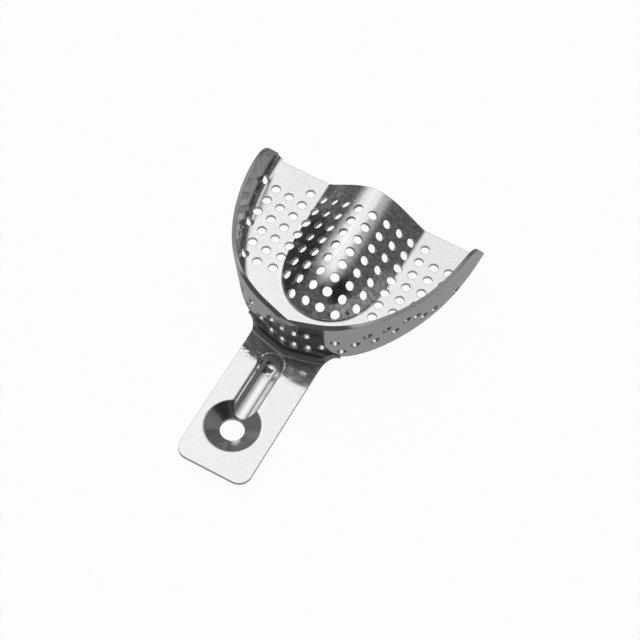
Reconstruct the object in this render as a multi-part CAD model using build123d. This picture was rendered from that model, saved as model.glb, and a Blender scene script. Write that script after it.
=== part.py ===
from build123d import *
import math
import os

os.makedirs("parts", exist_ok=True)

# Perforated upper impression tray in polished steel sheet, millimetres.
# Origin: on the midline, on the underside of the floor, where the front teeth sit.
# +X to one side, +Y to the open rear, +Z towards the teeth. The handle points to -Y.

# ---- sheet and perforations ----
sheet = 1.0                  # thickness of the tray sheet and of the handle sheet
pitch = 4.5                  # distance between neighbouring perforations
hole_d = 2.7                 # perforation diameter
clearance = 0.04             # gap between the handle flange and the wall

# ---- tray wall ----
wall_top_z = 26.0            # height the wall is drawn to before its rim is trimmed
foot_radius = 1.5            # inside radius between floor and wall
apex_radius = 2.5            # rounding where the two halves of the wall meet in front
apex_slope = 0.22            # slope of each half of the wall at the midline
rear_stock = 8.0             # stock behind the last outline point, trimmed away
# right half of the wall's outer face, rear to midline, at the rest plane and at wall_top_z
foot_outline = [(33.4, 48.0), (31.8, 29.7), (25.9, 12.8), (17.2, 0.6), (0.0, -6.4)]
top_outline = [(33.5, 48.0), (33.0, 29.4), (28.3, 11.8), (19.3, -1.8), (0.0, -8.9)]

# ---- rim, as a side view (y, z): up the rounded rear ear, then forward ----
ear_bottom = (45.6, 0.0)
ear_rear = (46.9, 1.3)
rim_points = [ear_rear, (45.6, 4.9), (42.4, 10.4), (37.7, 15.2), (31.5, 17.0), (21.8, 18.1),
              (8.3, 20.3), (-0.3, 21.4), (-3.2, 20.8), (-5.0, 19.1), (-7.2, 17.1), (-11.0, 15.0)]


# ---- floor and palate vault ----
floor_rear_y = 45.9          # straight rear edge of the floor and the vault
ear_inner_x = 31.0           # the wall's rear ears start at this distance from the midline
ear_corner_radius = 1.0      # plan radius between the floor's rear edge and the ear
vault_height = 8.8           # crown above the floor at the rear
vault_toe_y = 5.1            # the crown runs into the floor here
vault_rise_length = 7.3      # how quickly the crown rises behind the toe
vault_half_width = 15.5      # at the rear
vault_narrowing = 0.25       # share of the width lost at the toe
vault_narrowing_length = 5.0
vault_sweep = 2.2            # radians of cosine wave from the crown to the foot of the vault
vault_foot_radius = 1.0      # inside radius between floor and vault
bell_drop = 4.0              # fall from the crown to the wave's foot, at the toe
bell_drop_growth = 0.55      # extra fall per millimetre of crown height

# ---- perforation layout ----
# columns on the right side, midline outwards: x and y of the rear hole, drift outwards
# per row, first row, row count
hole_columns = [
    (2.3, 38.1, 0.0, 0, 8),
    (6.7, 38.8, 0.03, 0, 8),
    (10.5, 39.5, 0.10, 0, 7),
    (14.05, 39.95, 0.27, 0, 7),
    (18.3, 40.4, 0.36, 0, 7),
    (22.7, 40.9, 0.40, 1, 5),
    (27.15, 41.4, 0.43, 1, 3),
]
vault_column_count = 4
vault_row_squeeze = 0.025    # rows close up where the vault falls to its toe, per row squared
foot_hole_distances = [34.3, 45.0, 60.0]   # along the wall from the midline
# wall holes: distance along the wall from the midline, height
wall_holes = [
    (2.0, 4.9), (2.0, 11.5), (5.5, 11.8), (5.9, 5.0), (9.7, 6.9), (13.2, 10.8),
    (15.2, 5.3), (18.7, 9.3), (21.9, 13.4), (24.4, 8.5), (27.5, 13.0), (30.4, 8.8),
    (33.9, 12.2), (37.3, 10.5), (40.3, 6.8), (44.4, 5.6), (53.9, 3.2),
]

# ---- handle ----
handle_half_width = 10.9
handle_end_y = -49.1
handle_corner_radius = 3.7
# right edge at the root: it flares out and thins the flange against the wall
handle_flare = [(10.9, -8.0), (11.2, -5.45), (12.2, -3.75), (15.2, -1.9)]
# upper edge of the flange in front view, right half
flange_profile = [(0.0, 4.0), (10.5, 4.0), (12.8, 3.6), (14.2, 2.4), (14.6, -0.5)]
bend_radius = 1.7            # inside radius between strip and flange
ring_y = -34.55              # centre of the round pressing
pressing_x = -1.0            # the pressing sits a little off the midline
ring_radius = 7.9
hang_hole_radius = 3.4
ring_depth = 2.4             # at the edge of the hanging hole
groove_half_width = 3.35     # at the top; the groove's section is an arc, and its end is round
groove_depth = 2.2
groove_root_y = -10.0        # end of the groove next to the bend, at the top
pressing_edge_radius = 1.2   # between the strip and the pressing
junction_radius = 1.5        # where the groove opens into the ring

# ---- spot welds between flange and wall ----
weld_d = 1.6
weld_depth = 0.5             # into each sheet
weld_z = 3.1
weld_distances = [3.9, 7.9, 11.2]      # along the wall from the midline


def outline_spline(points):
    """Right half of the wall's outer face at one height, rear to midline."""
    return Spline(*points, tangents=[(0, -1), (-1, -apex_slope)])


def outline_face(points, inset, z):
    """Plan of the tray inside the wall's outer face moved inwards by inset."""
    outer = outline_spline(points)
    steps = 10
    moved = []
    for i in range(steps + 1):
        place = outer @ (i / steps)
        along = outer % (i / steps)
        moved.append((place.X + along.Y * inset, place.Y - along.X * inset))
    moved[-1] = (0, moved[-1][1])
    half = Spline(*moved, tangents=[outer % 0, outer % 1])
    x, y = moved[0]
    rear_y = points[0][1] + rear_stock + inset
    sides = Polyline((x, y), (x, rear_y), (-x, rear_y), (-x, y))
    face = make_face(Curve() + [half, mirror(half, about=Plane.YZ), sides])
    apex = face.vertices().sort_by(Axis.Y)[0]
    return Pos(0, 0, z) * fillet(apex, apex_radius - inset)


def drawn(inset):
    """Space inside the wall and above the floor, both moved inwards by inset."""
    bottom = outline_face(foot_outline, inset, inset)
    top = outline_face(top_outline, inset, wall_top_z + inset)
    return loft([bottom.face(), top.face()], ruled=True)


def vault_half_width_at(y):
    shrink = math.exp(-(y - vault_toe_y) / vault_narrowing_length)
    return vault_half_width * (1 - vault_narrowing * shrink)


def vault_z(x, y):
    """Height of the vault's upper face: a cosine bell whose crown falls to the toe."""
    crown = vault_height * (1 - math.exp(-(y - vault_toe_y) / vault_rise_length))
    drop = bell_drop + bell_drop_growth * crown
    wave = math.cos(vault_sweep * x / vault_half_width_at(y))
    bell = (wave - math.cos(vault_sweep)) / (1 - math.cos(vault_sweep))
    return sheet + crown - drop * (1 - bell)


def vault_normal(x, y):
    step = 0.01
    slope_x = (vault_z(x + step, y) - vault_z(x - step, y)) / (2 * step)
    slope_y = (vault_z(x, y + step) - vault_z(x, y - step)) / (2 * step)
    return Vector(-slope_x, -slope_y, 1).normalized()


def below_vault(depth):
    """Everything under the vault's upper face moved down its normals by depth."""
    front_y = vault_toe_y - 2.2
    rear_y = floor_rear_y + rear_stock + 6
    reach = 1.25             # how far the surface runs past the vault's foot, as a share
    crowding = 1.5           # rows lie closer together near the toe, where the shape turns
    rows = 20
    columns = 16
    grid = []
    for i in range(rows + 1):
        y = front_y + (rear_y - front_y) * (i / rows) ** crowding
        line = []
        for j in range(columns + 1):
            x = vault_half_width_at(y) * reach * (2 * j / columns - 1)
            line.append(Vector(x, y, vault_z(x, y)) - vault_normal(x, y) * depth)
        grid.append(line)
    surface = Face.make_surface_from_array_of_points(grid)
    return extrude(surface, amount=30, dir=(0, 0, -1))


def floor_edges(space, at_vault):
    """Edges around the flat floor, except its rear: those at the vault, or those at the wall."""
    floor = space.faces().sort_by(Axis.Z)[0]
    rear = floor.bounding_box().max.Y
    chosen = []
    for edge in floor.edges():
        middle = edge.center()
        beside_vault = abs(middle.X) < vault_half_width + 3.5 and middle.Y > vault_toe_y - 2
        if middle.Y < rear - 1 and beside_vault == at_vault:
            chosen.append(edge)
    return chosen


def inside(inset):
    """Space over the tray's sheet: inset 0 gives the outer skin, inset sheet the tooth side."""
    space = drawn(inset) - below_vault(sheet - inset)
    space = fillet(floor_edges(space, at_vault=False), foot_radius + sheet - inset)
    return fillet(floor_edges(space, at_vault=True), vault_foot_radius + inset)


def below_rim():
    """Space below the wall's rim and its rounded rear ears, and around the palate vault."""
    front_y = rim_points[-1][0]
    below = -4.0
    ear = RadiusArc(ear_bottom, ear_rear, -(ear_rear[1] - ear_bottom[1]))
    rim = Spline(*rim_points, tangents=[(0, 1), (-1, 0)])
    rest = Polyline(rim_points[-1], (front_y, below), (ear_bottom[0], below), ear_bottom)
    profile = make_face(Curve() + [ear, rim, rest])
    width = 2 * ear_inner_x - 4 * ear_corner_radius
    length = 20
    height = 2 * vault_height
    around_vault = Pos(0, floor_rear_y - length / 2, sheet + height / 4) * Box(width, length, height)
    return extrude(Plane.YZ * profile, amount=50, both=True) + around_vault


def rear_stock_cut():
    """Stock behind the straight floor edge, leaving the wall's two rear ears."""
    far_y = floor_rear_y + 20
    plan = Pos(0, (floor_rear_y + far_y) / 2) * Rectangle(2 * ear_inner_x, far_y - floor_rear_y)
    corners = plan.vertices().group_by(Axis.Y)[0]
    plan = fillet(corners, ear_corner_radius)
    return Pos(0, 0, -2) * extrude(plan, amount=40)


def drill(point, direction):
    """One perforation across the sheet, centred on a point of its upper or outer face."""
    return Plane(origin=point, z_dir=direction) * Cylinder(hole_d / 2, 5 * sheet)


def sheet_holes():
    """Perforations of the floor and the vault, each square to the sheet, right side."""
    drills = []
    for column, (first_x, first_y, drift, first_row, count) in enumerate(hole_columns):
        squeeze = vault_row_squeeze if column < vault_column_count else 0
        for row in range(first_row, first_row + count):
            x = first_x + drift * row
            y = first_y - pitch * row + squeeze * row ** 2
            rise = max(vault_z(x, y) - sheet, 0)
            on_vault = min(rise / vault_foot_radius, 1)
            direction = vault_normal(x, y) * on_vault + Vector(0, 0, 1) * (1 - on_vault)
            drills.append(drill(Vector(x, y, sheet + rise), direction))
    return drills


def wall_place(distance, z):
    """Point of the wall's outer face and its outward normal, right side."""
    lower = outline_spline(foot_outline)
    upper = outline_spline(top_outline)
    rise = z / wall_top_z
    along = 1 - distance / lower.length
    point = (lower @ along) * (1 - rise) + (upper @ along) * rise
    tangent = lower % along
    return Vector(point.X, point.Y, z), Vector(-tangent.Y, tangent.X, 0)


def wall_drills():
    """Perforations of the wall and of the rounded foot of the wall, right side."""
    drills = [drill(*wall_place(distance, z)) for distance, z in wall_holes]
    corner = (foot_radius + sheet) * (1 - math.cos(math.radians(45)))
    for distance in foot_hole_distances:
        point, outwards = wall_place(distance, corner)
        drills.append(drill(point - outwards * corner, outwards - Vector(0, 0, 1)))
    return drills


def mirrored(solids):
    return solids + [mirror(solid, about=Plane.YZ) for solid in solids]


def weld_nuggets():
    """Fused discs between wall and flange, on both sides of the midline."""
    nuggets = []
    for distance in weld_distances:
        point, outwards = wall_place(distance, weld_z)
        middle = Plane(origin=point + outwards * clearance / 2, z_dir=outwards)
        nuggets.append(middle * Cylinder(weld_d / 2, clearance + 2 * weld_depth))
    return mirrored(nuggets)


def tray_body():
    tray = inside(0) - inside(sheet)
    tray = tray & below_rim()
    tray = tray - rear_stock_cut()
    return tray - mirrored(sheet_holes() + wall_drills())


def bend_edges(skirt, z):
    """Curved edges between the strip and the flange at one face of the strip."""
    return [e for e in skirt.edges().filter_by_position(Axis.Z, z, z) if e.geom_type != GeomType.LINE]


def flange_skirt():
    """Flat handle sheet bent up against the whole front of the wall, before trimming."""
    width = 80
    length = 72
    height = 2 * flange_profile[0][1]
    middle_y = handle_end_y / 2
    blank = Pos(0, middle_y, height / 2) * Box(width, length, height)
    strip = Pos(0, middle_y, sheet / 2) * Box(width, length, sheet)
    band = drawn(-clearance - sheet) & blank
    skirt = strip + band - drawn(-clearance)
    skirt = fillet(bend_edges(skirt, sheet), bend_radius)
    return fillet(bend_edges(skirt, 0), bend_radius + sheet)


def handle_plan():
    """Outline of the handle from above: round-cornered strip with a flared root."""
    root_y = handle_flare[-1][1]
    flare = Spline(*handle_flare, tangents=[(0, 1), (0.9, 0.5)])
    right = Curve() + [Line((handle_half_width, handle_end_y), handle_flare[0]), flare]
    across_end = Line((-handle_half_width, handle_end_y), (handle_half_width, handle_end_y))
    across_root = Line(handle_flare[-1], (-handle_flare[-1][0], root_y))
    plan = make_face(Curve() + [right, mirror(right, about=Plane.YZ), across_end, across_root])
    corners = plan.vertices().group_by(Axis.Y)[0]
    return fillet(corners, handle_corner_radius)


def flange_front_profile():
    """Everything below the flange's upper edge, in front view."""
    edge = Spline(*flange_profile, tangents=[(1, 0), (0.2, -1)])
    far_x, far_z = flange_profile[-1]
    below = -6
    base = Polyline((far_x, far_z), (far_x, below), (-far_x, below), (-far_x, far_z))
    profile = make_face(Curve() + [edge, mirror(edge, about=Plane.YZ), base])
    return extrude(Plane.XZ * profile, amount=60, both=True)


def pressing(grow):
    """Dished ring and groove pressed down into the strip, widened by grow along its normals."""
    ring_slope = math.atan2(ring_depth, ring_radius - hang_hole_radius)
    low_z = sheet - ring_depth - grow / math.cos(ring_slope)
    high_z = sheet + 1
    wide = hang_hole_radius + (high_z - low_z) / math.tan(ring_slope)
    ring = Pos(pressing_x, ring_y, (low_z + high_z) / 2) * Cone(hang_hole_radius, wide, high_z - low_z)

    groove_radius = (groove_half_width ** 2 + groove_depth ** 2) / (2 * groove_depth)
    axis_z = sheet - groove_depth + groove_radius
    end_y = groove_root_y - groove_half_width
    length = end_y - ring_y
    barrel = Pos(0, (ring_y + end_y) / 2, axis_z) * Rot(90, 0, 0) * Cylinder(groove_radius + grow, length)
    end = Pos(0, end_y, axis_z) * Sphere(groove_radius + grow)
    below_high = Pos(0, ring_y, high_z - groove_radius) * Box(40, 80, 2 * groove_radius)
    groove = Pos(pressing_x, 0) * ((barrel + end) & below_high)
    both = ring + groove
    crossing = both.edges().filter_by(GeomType.BSPLINE)
    return fillet(crossing, junction_radius - grow)


def handle():
    plan = Pos(0, 0, -6) * extrude(handle_plan(), amount=16)
    flat = flange_skirt() & plan & flange_front_profile()
    below_top = Pos(0, ring_y, sheet / 2 - 5) * Box(100, 100, 10)
    body = flat + (pressing(sheet) & below_top) - pressing(0)
    hang_hole = Pos(pressing_x, ring_y, 0) * Cylinder(hang_hole_radius, 20)
    body = body - hang_hole
    strip_top = body.faces().filter_by_position(Axis.Z, sheet, sheet).sort_by(SortBy.AREA)[-1]
    return fillet(strip_top.inner_wires()[0].edges(), pressing_edge_radius)


def build():
    nuggets = weld_nuggets()
    parts = {
        "tray_body": tray_body() - nuggets,
        "handle": handle() - nuggets,
        "spot_welds": Compound(nuggets),
    }
    for name, shape in parts.items():
        export_step(shape, f"parts/{name}.step")


build()
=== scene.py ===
import math

import bpy
from mathutils import Matrix, Vector


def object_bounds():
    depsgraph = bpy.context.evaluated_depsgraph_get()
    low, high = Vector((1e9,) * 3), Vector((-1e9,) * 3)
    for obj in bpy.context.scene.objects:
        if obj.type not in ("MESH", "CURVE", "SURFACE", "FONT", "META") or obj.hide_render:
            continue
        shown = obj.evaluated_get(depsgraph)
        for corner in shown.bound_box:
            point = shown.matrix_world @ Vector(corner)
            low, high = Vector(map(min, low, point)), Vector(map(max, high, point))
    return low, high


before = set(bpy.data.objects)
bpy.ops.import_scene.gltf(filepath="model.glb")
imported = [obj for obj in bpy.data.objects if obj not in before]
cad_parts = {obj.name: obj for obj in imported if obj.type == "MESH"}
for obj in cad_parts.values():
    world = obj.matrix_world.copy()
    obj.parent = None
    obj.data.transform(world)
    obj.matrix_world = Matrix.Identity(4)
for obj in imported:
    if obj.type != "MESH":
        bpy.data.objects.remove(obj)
cad_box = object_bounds()

MM = 0.001

# ---- camera, angles in degrees ----
VIEW_AZIMUTH = 24.23      # from the handle's side, -Y, towards +X
VIEW_ELEVATION = 60.25
VIEW_ROLL = 5.18
VIEW_DISTANCE = 687.0 * MM
VIEW_TARGET = Vector((3.69, 5.76, 1.0)) * MM
LENS = 140.6              # millimetres, as the sensor width
SENSOR_WIDTH = 36.0

# ---- studio light, as the polished steel mirrors it ----
ROOM = 0.15
# soft lights: azimuth from +Y towards +X, elevation, half angle of the full part, half angle
# where it ends (degrees), strength; a negative strength is a black flag
SOFT_LIGHTS = [
    (-28.0, 71.0, 2.0, 26.0, 0.62),
    (-17.0, 64.0, 28.0, 47.0, 0.40),
    (-55.0, 42.0, 3.0, 27.0, 0.52),
    (105.0, 57.0, 6.0, 28.0, -0.12),
    (178.0, 72.0, 5.0, 16.0, -0.14),
]
BACKDROP = 1.0            # what the camera sees past the floor
FLOOR_SEEN = 1.0
FLOOR_SHADE = 0.03        # share of ordinary shading in the floor that the camera sees
FLOOR_MIRRORED = 0.33     # floor brightness in the steel's reflections
FLOOR_PAINT = (0.9, 0.9, 0.9, 1.0)
FLOOR_HALF_SIZE = 3.0

# ---- noise: the part of its range that carries the pattern, and how fine its detail is ----
NOISE_RANGE = (0.3, 0.7)
SOFT, FINE, GRAINY, CLOUDY = 1.0, 3.0, 4.0, 5.0

# ---- polished steel ----
STEEL = (0.76, 0.76, 0.765, 1.0)
STEEL_DULL = (0.725, 0.725, 0.73, 1.0)
STEEL_SLOPE_SHADE = (0.42, 0.42, 0.42, 1.0)     # darkest specks, painted shade on the vault's sloped sheet
# painted shade: a dark line along the sheet's sharp edges
STEEL_EDGE_SHADE = (0.18, 0.18, 0.18, 1.0)
STEEL_RIM = (0.40, 0.40, 0.405, 1.0)
STEEL_BEND_SHADE = (0.34, 0.335, 0.33, 1.0)  # painted shade on the bend and flange of the handle, darker than the polished steel
EDGE_RADIUS = 0.22 * MM   # buffed edges of the sheet
EDGE_SAMPLES = 6
EDGE_GAIN = 3.0           # how soon the painted shade along a buffed edge turns full
WAVE_SIZE = 2.4 * MM      # long waves left by pressing the sheet
WAVE_HEIGHT = 0.022 * MM
PEEL_SIZE = 0.75 * MM     # finer orange peel left by polishing
PEEL_HEIGHT = 0.006 * MM
SPECKLE_SIZE = 0.90 * MM  # brighter and duller spots
SMEAR_SIZE = 5.0 * MM     # patches of duller polish
ROUGHNESS = (0.05, 0.18)  # best and dullest polish
ROUGHNESS_RIM = 0.40
ROUGHNESS_WELDED = 0.34
# sloped sheet gets painted shade: the upright part of its normal where it starts and ends
SLOPE_SHADE_STARTS = (0.98, 0.86)
SLOPE_SHADE_ENDS = (0.15, 0.45)
SLOPE_SHADE_BEHIND_Y = (-4.0 * MM, 0.0)
# ground top of the wall, higher than the crown of the vault
RIM_FROM_Z = (10.3 * MM, 11.3 * MM)
RIM_UPRIGHT = (0.35, 0.60)
# inside of the wall: painted shade, a darker grey in upright streaks
TRAY_MIDDLE_Y = 25.0 * MM
WALL_SHADE_FROM_Z = (1.6 * MM, 2.6 * MM)
WALL_SHADE_UPRIGHT = (0.55, 0.35)
STREAK_SIZE = 0.9 * MM
STREAK_LENGTH = 12.0      # times the width
STREAK_SHADE_DARK = (0.22, 0.22, 0.22, 1.0)
STREAK_SHADE_LIGHT = (0.43, 0.43, 0.435, 1.0)
# press marks where the handle is bent up and welded
MARK_SIZE = 1.8 * MM
MARK_HEIGHT = 0.11 * MM
MARK_FROM_Y = (-17.0 * MM, -11.0 * MM)
MARK_UNTIL_Y = (-2.0 * MM, -5.0 * MM)
MARK_UNTIL_X = (9.0 * MM, 3.0 * MM)
MARK_BELOW_Z = (15.0 * MM, 9.0 * MM)
# the bend, darkened with painted shade, follows the wall: y = start + WALL_CURVE * x * x, with
# the start given below
WALL_CURVE = 0.024 / MM
BEND_SHADE_FROM_Y = (-12.6 * MM, -9.8 * MM)

# ---- fused steel of the spot welds ----
FUSED_DARK = (0.16, 0.15, 0.14, 1.0)
FUSED_LIGHT = (0.42, 0.41, 0.40, 1.0)
FUSED_ROUGHNESS = (0.35, 0.60)
FUSED_GRAIN = 0.40 * MM
FUSED_RELIEF = 0.02 * MM

# ---- sockets of Blender's mix node that carry colours ----
MIX_FIRST, MIX_SECOND, MIX_RESULT = 6, 7, 2


class Nodes:
    """Adds shader nodes to one tree; an input may be a value or another node's socket."""

    def __init__(self, tree):
        self.tree = tree
        tree.nodes.clear()

    def link(self, value, socket):
        """Feeds a node's output or a plain value into an input."""
        if isinstance(value, bpy.types.NodeSocket):
            self.tree.links.new(value, socket)
        else:
            socket.default_value = value

    def add(self, kind, *ordered, settings=None, **named):
        """Adds a node, with its inputs by order or by name and its settings by name."""
        node = self.tree.nodes.new(kind)
        for name, value in (settings or {}).items():
            setattr(node, name, value)
        for index, value in enumerate(ordered):
            self.link(value, node.inputs[index])
        for name, value in named.items():
            self.link(value, node.inputs[name.replace("_", " ")])
        return node

    def math(self, operation, *values):
        return self.add("ShaderNodeMath", *values, settings={"operation": operation}).outputs[0]

    def vector(self, operation, a, b, output="Vector"):
        node = self.add("ShaderNodeVectorMath", a, b, settings={"operation": operation})
        return node.outputs[output]

    def dot(self, a, b):
        return self.vector("DOT_PRODUCT", a, b, "Value")

    def split(self, vector):
        """The x, y and z of a vector."""
        node = self.add("ShaderNodeSeparateXYZ", vector)
        return [node.outputs[axis] for axis in "XYZ"]

    def ramp(self, value, low, high, to_low=0.0, to_high=1.0, smooth=True):
        """Maps low to to_low and high to to_high, and holds both beyond them."""
        kind = "SMOOTHSTEP" if smooth else "LINEAR"
        node = self.add("ShaderNodeMapRange", value, low, high, to_low, to_high,
                        settings={"interpolation_type": kind})
        return node.outputs["Result"]

    def noise(self, vector, size, detail):
        """Noise from 0 to 1 whose features are about size metres across."""
        node = self.add("ShaderNodeTexNoise", Vector=vector, Scale=1.0 / size, Detail=detail)
        return node.outputs["Fac"]

    def pattern(self, vector, size, detail, low=0.0, high=1.0):
        """Noise spread out to run from low to high."""
        return self.ramp(self.noise(vector, size, detail), *NOISE_RANGE, low, high)

    def mix(self, factor, a, b):
        """Colour a, turning into colour b as the factor goes from 0 to 1."""
        node = self.tree.nodes.new("ShaderNodeMix")
        node.data_type = "RGBA"
        self.link(factor, node.inputs["Factor"])
        self.link(a, node.inputs[MIX_FIRST])
        self.link(b, node.inputs[MIX_SECOND])
        return node.outputs[MIX_RESULT]


def direction(azimuth, elevation):
    """Unit vector, with the azimuth from +Y towards +X and both angles in degrees."""
    a, e = math.radians(azimuth), math.radians(elevation)
    return Vector((math.sin(a) * math.cos(e), math.cos(a) * math.cos(e), math.sin(e)))


def build_world():
    """Dim room with soft lights for the reflections, and a plain pale backdrop for the camera."""
    world = bpy.data.worlds.new("studio")
    bpy.context.scene.world = world
    world.use_nodes = True
    n = Nodes(world.node_tree)
    ray = n.add("ShaderNodeTexCoord").outputs["Generated"]
    total = ROOM
    for azimuth, elevation, full, end, strength in SOFT_LIGHTS:
        towards = n.dot(ray, direction(azimuth, elevation))
        inner, outer = (math.cos(math.radians(angle)) for angle in (full, end))
        total = n.math("ADD", n.ramp(towards, outer, inner, 0.0, strength), total)
    camera_ray = n.add("ShaderNodeLightPath").outputs["Is Camera Ray"]
    seen = n.ramp(camera_ray, 0.0, 1.0, total, BACKDROP, smooth=False)
    background = n.add("ShaderNodeBackground", Color=seen)
    n.add("ShaderNodeOutputWorld", Surface=background.outputs[0])


def material(name):
    """An empty material and its nodes."""
    mat = bpy.data.materials.new(name)
    mat.use_nodes = True
    return mat, Nodes(mat.node_tree)


def sheet_height(n, place, x, y, z):
    """Relief of the sheet: long waves, orange peel, and press marks at the handle's root."""
    wave = n.math("MULTIPLY", n.noise(place, WAVE_SIZE, SOFT), WAVE_HEIGHT)
    peel = n.math("MULTIPLY", n.noise(place, PEEL_SIZE, FINE), PEEL_HEIGHT)
    along = n.math("MULTIPLY", n.ramp(y, *MARK_FROM_Y), n.ramp(y, *MARK_UNTIL_Y))
    low = n.math("MULTIPLY", n.ramp(z, *MARK_BELOW_Z), n.ramp(x, *MARK_UNTIL_X))
    at_root = n.math("MULTIPLY", along, low)
    mark = n.math("MULTIPLY", n.noise(place, MARK_SIZE, SOFT), MARK_HEIGHT)
    marks = n.math("MULTIPLY", mark, at_root)
    return n.math("ADD", n.math("ADD", wave, peel), marks)


def rim_and_wall_shade_masks(n, place, normal, upright, z):
    """How much a point belongs to the ground top of the wall, and to its inside face, which gets
    painted shade.
    """
    rim = n.math("MULTIPLY", n.ramp(z, *RIM_FROM_Z), n.ramp(upright, *RIM_UPRIGHT))
    outwards = n.vector("SUBTRACT", place, (0.0, TRAY_MIDDLE_Y, 0.0))
    faces_in = n.math("LESS_THAN", n.dot(normal, outwards), 0.0)
    wall_shade = n.math("MULTIPLY", n.ramp(z, *WALL_SHADE_FROM_Z), n.ramp(upright, *WALL_SHADE_UPRIGHT))
    return rim, n.math("MULTIPLY", wall_shade, faces_in)


def slope_shade_mask(n, upright, y):
    """How much a point of the tray belongs to the sloped faces of its vault, which get painted
    shade.
    """
    sloped = n.math("MULTIPLY", n.ramp(upright, *SLOPE_SHADE_STARTS), n.ramp(upright, *SLOPE_SHADE_ENDS))
    return n.math("MULTIPLY", sloped, n.ramp(y, *SLOPE_SHADE_BEHIND_Y))


def shade_streaks(n, place):
    """Colour of upright streaks of painted shade."""
    long_way = n.vector("MULTIPLY", place, (1.0, 1.0, 1.0 / STREAK_LENGTH))
    return n.mix(n.pattern(long_way, STREAK_SIZE, FINE), STREAK_SHADE_DARK, STREAK_SHADE_LIGHT)


def bend_shade_mask(n, x, y):
    """How much a point of the handle belongs to its bend and flange, which get painted shade and
    a duller polish.
    """
    behind_wall = n.math("MULTIPLY", n.math("MULTIPLY", x, x), WALL_CURVE)
    return n.ramp(n.math("SUBTRACT", y, behind_wall), *BEND_SHADE_FROM_Y)


def polished_steel(name, dull_shaded_bend=False):
    """Mirror-polished sheet: slightly wavy and speckled, with painted shade on its edges, the
    wall insides, the vault's slopes and, on the handle, its bend.
    """
    mat, n = material(name)
    place = n.add("ShaderNodeTexCoord").outputs["Object"]
    x, y, z = n.split(place)
    plain = n.add("ShaderNodeNewGeometry").outputs["Normal"]
    upright = n.math("ABSOLUTE", n.split(plain)[2])
    edge = n.add("ShaderNodeBevel", EDGE_RADIUS, settings={"samples": EDGE_SAMPLES})
    buffed = edge.outputs["Normal"]
    bump = n.add("ShaderNodeBump", Strength=1.0, Distance=1.0,
                 Height=sheet_height(n, place, x, y, z), Normal=buffed)

    # random specks of duller steel, turned darker on the vault's slopes as painted shade
    slope_shaded_specks = n.mix(slope_shade_mask(n, upright, y), STEEL_DULL, STEEL_SLOPE_SHADE)
    colour = n.mix(n.pattern(place, SPECKLE_SIZE, FINE), slope_shaded_specks, STEEL)
    rough = n.pattern(place, SMEAR_SIZE, CLOUDY, *ROUGHNESS)
    rim, inside_shade = rim_and_wall_shade_masks(n, place, plain, upright, z)
    # painted shade: the inside faces of the wall turn a darker, streaked grey
    colour = n.mix(inside_shade, colour, shade_streaks(n, place))
    colour = n.mix(rim, colour, STEEL_RIM)
    rough = n.math("MAXIMUM", rough, n.math("MULTIPLY", rim, ROUGHNESS_RIM))
    # painted shade on the handle's bend and flange, with a duller polish there too
    if dull_shaded_bend:
        bend_dull_and_shade = bend_shade_mask(n, x, y)
        colour = n.mix(bend_dull_and_shade, colour, STEEL_BEND_SHADE)
        rough = n.math("MAXIMUM", rough, n.math("MULTIPLY", bend_dull_and_shade, ROUGHNESS_WELDED))
    # painted shade along every sharp edge, where the buffed normal turns from the plain one
    turned = n.math("SUBTRACT", 1.0, n.dot(buffed, plain))
    edge_shade = n.math("MINIMUM", n.math("MULTIPLY", turned, EDGE_GAIN), 1.0)
    colour = n.mix(edge_shade, colour, STEEL_EDGE_SHADE)

    shader = n.add("ShaderNodeBsdfPrincipled", Metallic=1.0, Roughness=rough, Base_Color=colour,
                   Normal=bump.outputs["Normal"])
    n.add("ShaderNodeOutputMaterial", Surface=shader.outputs["BSDF"])
    return mat


def weld_steel(name):
    """Dull, heat-darkened steel of the fused spots."""
    mat, n = material(name)
    place = n.add("ShaderNodeTexCoord").outputs["Object"]
    grain = n.noise(place, FUSED_GRAIN, GRAINY)
    colour = n.mix(grain, FUSED_DARK, FUSED_LIGHT)
    rough = n.ramp(grain, *NOISE_RANGE, *FUSED_ROUGHNESS)
    bump = n.add("ShaderNodeBump", Strength=1.0, Distance=FUSED_RELIEF, Height=grain)
    shader = n.add("ShaderNodeBsdfPrincipled", Metallic=1.0, Roughness=rough, Base_Color=colour,
                   Normal=bump.outputs["Normal"])
    n.add("ShaderNodeOutputMaterial", Surface=shader.outputs["BSDF"])
    return mat


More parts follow.
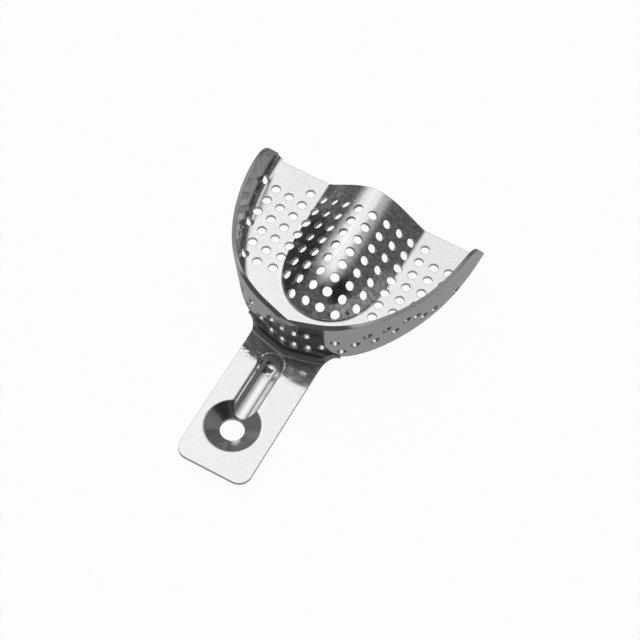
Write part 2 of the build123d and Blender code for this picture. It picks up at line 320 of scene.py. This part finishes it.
def floor_material():
    """White to the camera, mid grey in the steel."""
    mat, n = material("pale_floor")
    diffuse = n.add("ShaderNodeBsdfDiffuse", FLOOR_PAINT)
    seen = n.add("ShaderNodeEmission", Strength=FLOOR_SEEN)
    shaded = n.add("ShaderNodeMixShader", FLOOR_SHADE, seen.outputs[0], diffuse.outputs[0])
    mirrored = n.add("ShaderNodeEmission", Strength=FLOOR_MIRRORED)
    camera_ray = n.add("ShaderNodeLightPath").outputs["Is Camera Ray"]
    both = n.add("ShaderNodeMixShader", camera_ray, mirrored.outputs[0], shaded.outputs[0])
    n.add("ShaderNodeOutputMaterial", Surface=both.outputs[0])
    return mat


def build_floor():
    """A square sheet under the tray."""
    z = cad_box[0][2]
    s = FLOOR_HALF_SIZE
    mesh = bpy.data.meshes.new("floor")
    mesh.from_pydata([(-s, -s, z), (s, -s, z), (s, s, z), (-s, s, z)], [], [(0, 1, 2, 3)])
    floor = bpy.data.objects.new("floor", mesh)
    bpy.context.scene.collection.objects.link(floor)
    mesh.materials.append(floor_material())


def build_camera():
    """Looks at the target from the handle's side, rolled about the line of sight."""
    azimuth, roll = math.radians(VIEW_AZIMUTH), math.radians(VIEW_ROLL)
    back = direction(180.0 - VIEW_AZIMUTH, VIEW_ELEVATION)
    right = Vector((math.cos(azimuth), math.sin(azimuth), 0.0))
    up = back.cross(right)
    side = right * math.cos(roll) + up * math.sin(roll)
    top = up * math.cos(roll) - right * math.sin(roll)
    data = bpy.data.cameras.new("camera")
    data.lens = LENS
    data.sensor_width = SENSOR_WIDTH
    camera = bpy.data.objects.new("camera", data)
    bpy.context.scene.collection.objects.link(camera)
    turn = Matrix((side, top, back)).transposed().to_4x4()
    camera.matrix_world = Matrix.Translation(VIEW_TARGET + back * VIEW_DISTANCE) @ turn
    bpy.context.scene.camera = camera


def finish_steel():
    """Gives every CAD node its metal."""
    metals = {
        "tray_body": polished_steel("tray_steel"),
        "handle": polished_steel("handle_steel", dull_shaded_bend=True),
        "spot_welds": weld_steel("weld_steel"),
    }
    for name, metal in metals.items():
        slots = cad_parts[name].data.materials
        slots.clear()
        slots.append(metal)


build_world()
build_floor()
build_camera()
finish_steel()
bpy.context.scene.view_settings.view_transform = "Standard"
